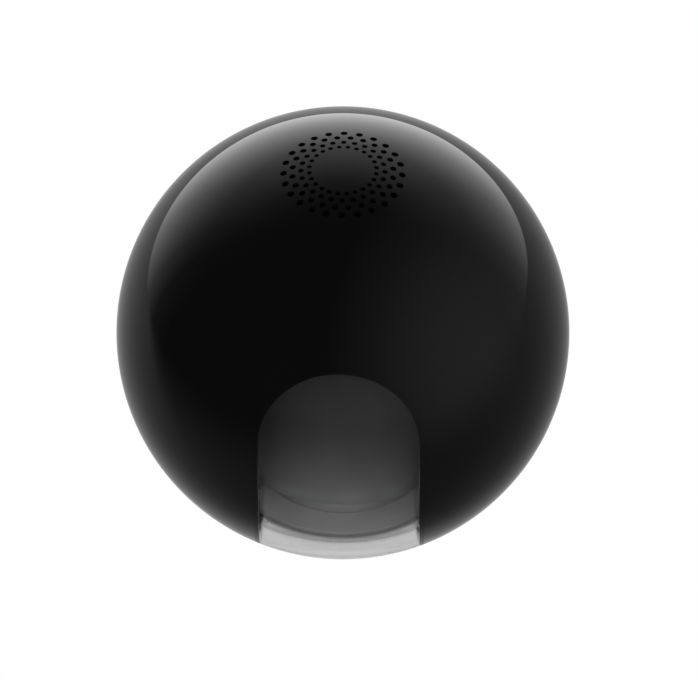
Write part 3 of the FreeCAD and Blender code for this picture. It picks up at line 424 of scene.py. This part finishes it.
# Front shell
# One seamless high-gloss moulding: the ball's front and top, with the arched opening of the
# window and the speaker's field of 96 drilled holes.
seam_tilt = math.radians(46.0)
seam_gap = 0.1
window_half_width = 17.7
seal_width = 0.8
arch_height = 9.9
seam_out = Vector((0, -math.sin(seam_tilt), math.cos(seam_tilt)))
seam_up = Vector((0, math.cos(seam_tilt), math.sin(seam_tilt)))


def arch_point(share, half_width, low, radius):
    """A point of the window's outline on a sphere, from its left foot (0) to its right (1)."""
    side = arch_height - low
    way = share * (2 * side + math.pi * half_width)
    if way < side:
        x, z = -half_width, low + way
    elif way > side + math.pi * half_width:
        x, z = half_width, low + (2 * side + math.pi * half_width - way)
    else:
        turn = (way - side) / half_width
        x = -half_width * math.cos(turn)
        z = arch_height + half_width * math.sin(turn)
    return Vector((x, -math.sqrt(radius ** 2 - x * x - z * z), z))


def front_point(across, up, radius):
    """Between the window's outline (up 0) and the seam (up 1) along a great circle."""
    half_width = window_half_width + seal_width
    drop = math.sqrt(radius ** 2 - half_width ** 2 - seam_gap ** 2)
    low = seam_gap * seam_out.z - drop * seam_up.z
    near = arch_point(across, half_width, low, radius)
    ring = math.sqrt(radius ** 2 - seam_gap ** 2)
    foot = math.asin(half_width / ring)
    turn = -foot - across * (math.tau - 2 * foot)
    sideways = Vector((1, 0, 0))
    away = seam_out * seam_gap + ring * (-math.cos(turn) * seam_up + math.sin(turn) * sideways)
    span = near.angle(away)
    if span < 1e-6:
        return near
    return (near * math.sin((1 - up) * span) + away * math.sin(up * span)) / math.sin(span)


form = bmesh.new()
bmesh.ops.create_grid(form, x_segments=280, y_segments=64, size=1.0)
for vert in form.verts:
    across = vert.co.x / 2 + 0.5
    up = (vert.co.y / 2 + 0.5) ** 1.35
    vert.co = front_point(across, up, ball_radius) * mm + ball_centre
bmesh.ops.remove_doubles(form, verts=form.verts, dist=0.01 * mm)
bmesh.ops.recalc_face_normals(form, faces=form.faces)
ball_top = ball_centre + Vector((0, 0, ball_radius * mm))
middle = min(form.faces, key=lambda f: (f.calc_center_median() - ball_top).length)
if middle.normal.z < 0:
    bmesh.ops.reverse_faces(form, faces=form.faces)
wall = bmesh.ops.extrude_face_region(form, geom=form.faces[:], use_keep_orig=True)
inner = [item for item in wall["geom"] if isinstance(item, bmesh.types.BMVert)]
outer_faces = [item for item in wall["geom"] if isinstance(item, bmesh.types.BMFace)]
bmesh.ops.scale(form, verts=inner, vec=Vector((1, 1, 1)) * (shell_inside / ball_radius),
                space=Matrix.Translation(-ball_centre))
bmesh.ops.reverse_faces(form, faces=outer_faces)
bmesh.ops.recalc_face_normals(form, faces=form.faces)
edges = [edge for edge in form.edges
         if len(edge.link_faces) == 2 and edge.calc_face_angle() > math.radians(50)]
edge_round = 0.18
bmesh.ops.bevel(form, geom=edges, offset=edge_round * mm, segments=3, profile=0.5, affect="EDGES",
                material=-1, clamp_overlap=True)
front_skin = finished("front_shell_skin", form)

holes = bmesh.new()
grille_height = 93.0
drill_length = 12.0
grille_count = 24
grille = [(13.0, 0.78, 0.0), (11.1, 0.70, 0.5), (9.2, 0.62, 0.0), (7.4, 0.54, 0.5)]
for ring_radius, hole_radius, stagger in grille:
    for number in range(grille_count):
        turn = math.tau / grille_count * (number + stagger)
        spot = Vector((ring_radius * math.sin(turn), ring_radius * math.cos(turn), grille_height))
        bmesh.ops.create_cone(holes, cap_ends=True, segments=24, radius1=hole_radius * mm,
                              radius2=hole_radius * mm, depth=drill_length * mm,
                              matrix=Matrix.Translation(spot * mm))
drill = finished("grille_drill", holes)
cut = front_skin.modifiers.new("grille", "BOOLEAN")
cut.operation = "DIFFERENCE"
cut.solver = "EXACT"
cut.object = drill
bpy.context.view_layer.update()
graph = bpy.context.evaluated_depsgraph_get()
drilled = bpy.data.meshes.new_from_object(front_skin.evaluated_get(graph))
front_skin.modifiers.clear()
front_skin.data = drilled
bpy.data.objects.remove(drill)
true_normals(front_skin, [ball_radius, shell_inside])
front_skin.data.materials.clear()
front_skin.data.materials.append(gloss_shell.material)
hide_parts("front_shell")
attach(front_skin, "turret")

# Window seal
# A thin black rubber strip pressed between the window and the shell, a little below their
# surface, so that it shows as a fine dark line.
seal = smooth_copy("window_gasket", [ball_radius, shell_inside])
seal_rubber = moulded("seal_rubber", (0.002, 0.002, 0.002), 0.22, 0.2, 0.0005)
seal.data.materials.append(seal_rubber.material)
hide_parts("window_gasket")
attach(seal, "turret")

# Window
# A thick polished window, flush with the ball, in a smoke tint with painted shade graded by
# height: dark at the top and clear below the middle, so that what lies behind looks lit from
# below. Its curve bends light from below into a pale band, its sides and its glued foot are
# matt, and soft light is let straight through to what lies behind.
window_wall = 3.5
pane_inside = ball_radius - window_wall
pane_fit = 0.05
pane_half_width = window_half_width - pane_fit
rim = -38.7
table_seat = 27.6
table_top = -36.2


def pane_point(across, up, radius):
    """A point of the pane on a sphere: across from side to side, up from the rim to the arch's top."""
    straight = 0.45
    if up < straight:
        z = rim + (arch_height - rim) * up / straight
        half_width = pane_half_width
    else:
        turn = (up - straight) / (1 - straight) * math.pi / 2
        z = arch_height + pane_half_width * math.sin(turn)
        half_width = pane_half_width * math.cos(turn)
    x = half_width * across
    y = -math.sqrt(radius ** 2 - x * x - z * z)
    if z < table_top:
        y = min(y, -math.sqrt(table_seat ** 2 - x * x))
    return Vector((x, y, z))


form = bmesh.new()
bmesh.ops.create_grid(form, x_segments=72, y_segments=110, size=1.0)
places = {vert: (vert.co.x, vert.co.y / 2 + 0.5) for vert in form.verts}
wall = bmesh.ops.extrude_face_region(form, geom=form.faces[:], use_keep_orig=True)
inner = [item for item in wall["geom"] if isinstance(item, bmesh.types.BMVert)]
for vert in inner:
    vert.co = pane_point(vert.co.x, vert.co.y / 2 + 0.5, pane_inside) * mm + ball_centre
for vert, (across, up) in places.items():
    vert.co = pane_point(across, up, ball_radius) * mm + ball_centre
bmesh.ops.remove_doubles(form, verts=form.verts, dist=0.005 * mm)
bmesh.ops.recalc_face_normals(form, faces=form.faces)
rim_edges = [edge for edge in form.edges if edge.is_manifold and edge.calc_face_angle() > 1.0
             and all((vert.co - ball_centre).length > (ball_radius - 0.1) * mm for vert in edge.verts)]
rim_round = 0.14
bmesh.ops.bevel(form, geom=rim_edges, offset=rim_round * mm, segments=2, affect="EDGES", profile=0.5,
                material=-1)
side_on = 0.3
inner_limit = ball_radius - 0.5
ledge_top = table_top + 0.3
for face in form.faces:
    middle = face.calc_center_median() - ball_centre
    if abs(face.normal.dot(middle.normalized())) < side_on:
        face.material_index = 1
    elif middle.length < inner_limit * mm and middle.z < ledge_top * mm:
        face.material_index = 2
pane = finished("front_window_pane", form)
true_normals(pane, [ball_radius, pane_inside])
window_glass = Finish("smoked_window", (0.7, 0.7, 0.7), 0.0, Transmission_Weight=1.0, IOR=1.5)
window_glass.bump(window_glass.noise(8.0, 1.0), 0.0015)
height = window_glass.node("SeparateXYZ", output=2, Vector=window_glass.place) / mm - ball_centre.z / mm
# Painted shade: the tint is darkest at the top and clearest in a band from 15.5 to 5 mm below the
# ball's middle, so that what lies behind looks lit from below; only the overall smoke is the window's
# own.
tint_and_painted_shade = window_glass.levels(height, [(-30, 0.59), (-24, 0.59), (-18, 0.62), (-15.5, 0.95), (-5, 0.93),
                               (1, 0.57), (7, 0.4), (14, 0.27), (30, 0.3)])
window_glass.feed(Base_Color=tint_and_painted_shade)
blurred = window_glass.node("LightPath", output=3) * (1.0 - window_glass.node("LightPath", output=4))
soft_light = window_glass.node("LightPath", output=1) + window_glass.node("LightPath", output=2) + blurred
passed = window_glass.node("BsdfTransparent", Color=(0.75, 0.75, 0.755, 1))
glass = Value(window_glass.tree, window_glass.shader.outputs[0])
glazed = window_glass.node("MixShader", _0=soft_light, _1=glass, _2=passed)
window_glass.tree.links.new(glazed.socket, window_glass.tree.nodes["Material Output"].inputs["Surface"])
pane.data.materials.append(window_glass.material)
frosted = moulded("frosted_edge", (0.1, 0.1, 0.1), 0.5, 0.2, 0.004)
pane.data.materials.append(frosted.material)
glued_ledge = moulded("glued_ledge", (0.6, 0.6, 0.6), 0.5, 0.2, 0.004)
pane.data.materials.append(glued_ledge.material)
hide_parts("front_window")
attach(pane, "turret")

# Floor and light
# A plain pale sheet and an even white studio, dark overhead. Matt pieces are lit from the
# sheet's side, glossy ones mirror a bright backdrop, soft walls and a dim front, and rays
# bent by the window meet white sheet behind the object.
floor_form = bmesh.new()
bmesh.ops.create_circle(floor_form, cap_ends=True, segments=96, radius=0.6)
floor = finished("floor", floor_form)
sheet = Finish("floor_sheet", (0.8, 0.8, 0.8), 0.9)
seen = sheet.node("LightPath", output=0)
mirrored = sheet.node("LightPath", output=2) + sheet.node("LightPath", output=3)
glow = sheet.node("Emission", Color=(1, 1, 1, 1), Strength=1.0)
clear_of = sheet.node("BsdfTransparent")
paper = Value(sheet.tree, sheet.shader.outputs[0])
lit = sheet.node("MixShader", _0=seen, _1=paper, _2=glow)
result = sheet.node("MixShader", _0=mirrored, _1=lit, _2=clear_of)
sheet.tree.links.new(result.socket, sheet.tree.nodes["Material Output"].inputs["Surface"])
floor.data.materials.append(sheet.material)

world = bpy.data.worlds.new("studio")
bpy.context.scene.world = world
world.use_nodes = True
studio = Nodes(world.node_tree)
background = world.node_tree.nodes["Background"]
direction = studio.node("TexCoord", output=0)
right = studio.node("SeparateXYZ", output=0, Vector=direction)
back = studio.node("SeparateXYZ", output=1, Vector=direction)
up = studio.node("SeparateXYZ", output=2, Vector=direction)
level = studio.node("Math", {"operation": "SQRT"}, _0=1.0 - up * up)
behind = back / (level + 0.001)
backdrop = studio.levels(up, [(-0.26, 1.0), (-0.1, 0.93), (0.0, 0.83), (0.17, 0.66), (0.42, 0.33),
                              (0.6, 0.21), (0.78, 0.07), (0.9, 0.01), (1.0, 0.0)])
spread = studio.levels(behind, [(0.1, 0.0), (0.34, 0.03), (0.5, 0.14), (0.77, 0.5), (0.94, 0.9),
                                (1.0, 1.0)])
fill_side = studio.node("VectorMath", {"operation": "DOT_PRODUCT"}, output=1, _0=direction,
                        _1=(0.925, -0.337, 0.174))
backdrop_light = 2.2
fill_light = 0.27
fill = studio.levels(fill_side, [(0.25, 0.0), (0.6, 0.3), (0.85, 0.72), (1.0, 1.0)]) * fill_light
wall = backdrop * spread * backdrop_light + fill
side = studio.smooth(right, -0.9, 0.7)
ground = studio.levels(behind, [(-1.0, 0.05), (-0.4, 0.07), (0.17, 0.13), (0.5, 0.2), (0.77, 0.29),
                                (0.94, 0.37), (1.0, 0.52)]) * (1.15 - side * 0.35) + 0.03
under = studio.smooth(up, -0.95, -1.0)
ground = ground * (1.0 - under) + under * 0.1
edge = studio.node("Math", {"operation": "MAXIMUM"}, _0=right, _1=0.0)
front_share = 1.0 - studio.smooth(behind, -0.15, 0.45)
sheet_end = edge * edge * 0.19 - 0.254 - front_share * 0.2
blur = front_share * 0.3 + 0.008
above = studio.smooth(up, sheet_end - blur, sheet_end + blur)
mirrored_studio = wall * above + ground * (1.0 - above)
refracted = studio.node("LightPath", output=6) * studio.node("LightPath", output=4)
beyond = refracted * (studio.smooth(back, -0.1, 0.3) * 0.8 + 0.2) * (1.0 - above)
mirrored_studio = mirrored_studio * (1.0 - beyond) + beyond
glossy = studio.node("LightPath", output=3)
diffuse = studio.node("LightPath", output=2)
soft_strength = 3.2
soft = studio.levels(up, [(-1.0, 1.0), (0.0, 1.0), (0.3, 0.9), (0.6, 0.4), (1.0, 0.05)]) * soft_strength
strength = glossy * mirrored_studio + diffuse * soft + (1.0 - glossy - diffuse)
world.node_tree.links.new(strength.socket, background.inputs["Strength"])
background.inputs["Color"].default_value = (1, 1, 1, 1)

# Camera
# A long lens looks down at the ball from the front, at 44 degrees, from about forty ball
# widths away and a touch to one side, as in the photograph.
elevation = math.radians(44.0)
azimuth = math.radians(1.14)
distance = 4.0
towards = Vector((math.sin(azimuth) * math.cos(elevation), -math.cos(azimuth) * math.cos(elevation),
                  math.sin(elevation)))
lens = bpy.data.cameras.new("camera")
lens.lens = 936.0
lens.sensor_width = 36.0
picture_width = 697
lens.shift_x = 5.58 / picture_width
lens.shift_y = -7.26 / picture_width
lens.clip_start = 0.1
viewer = bpy.data.objects.new("camera", lens)
viewer.location = ball_centre + towards * distance
viewer.rotation_euler = (-towards).to_track_quat("-Z", "Y").to_euler()
bpy.context.scene.collection.objects.link(viewer)
bpy.context.scene.camera = viewer
bpy.context.scene.view_settings.view_transform = "Standard"
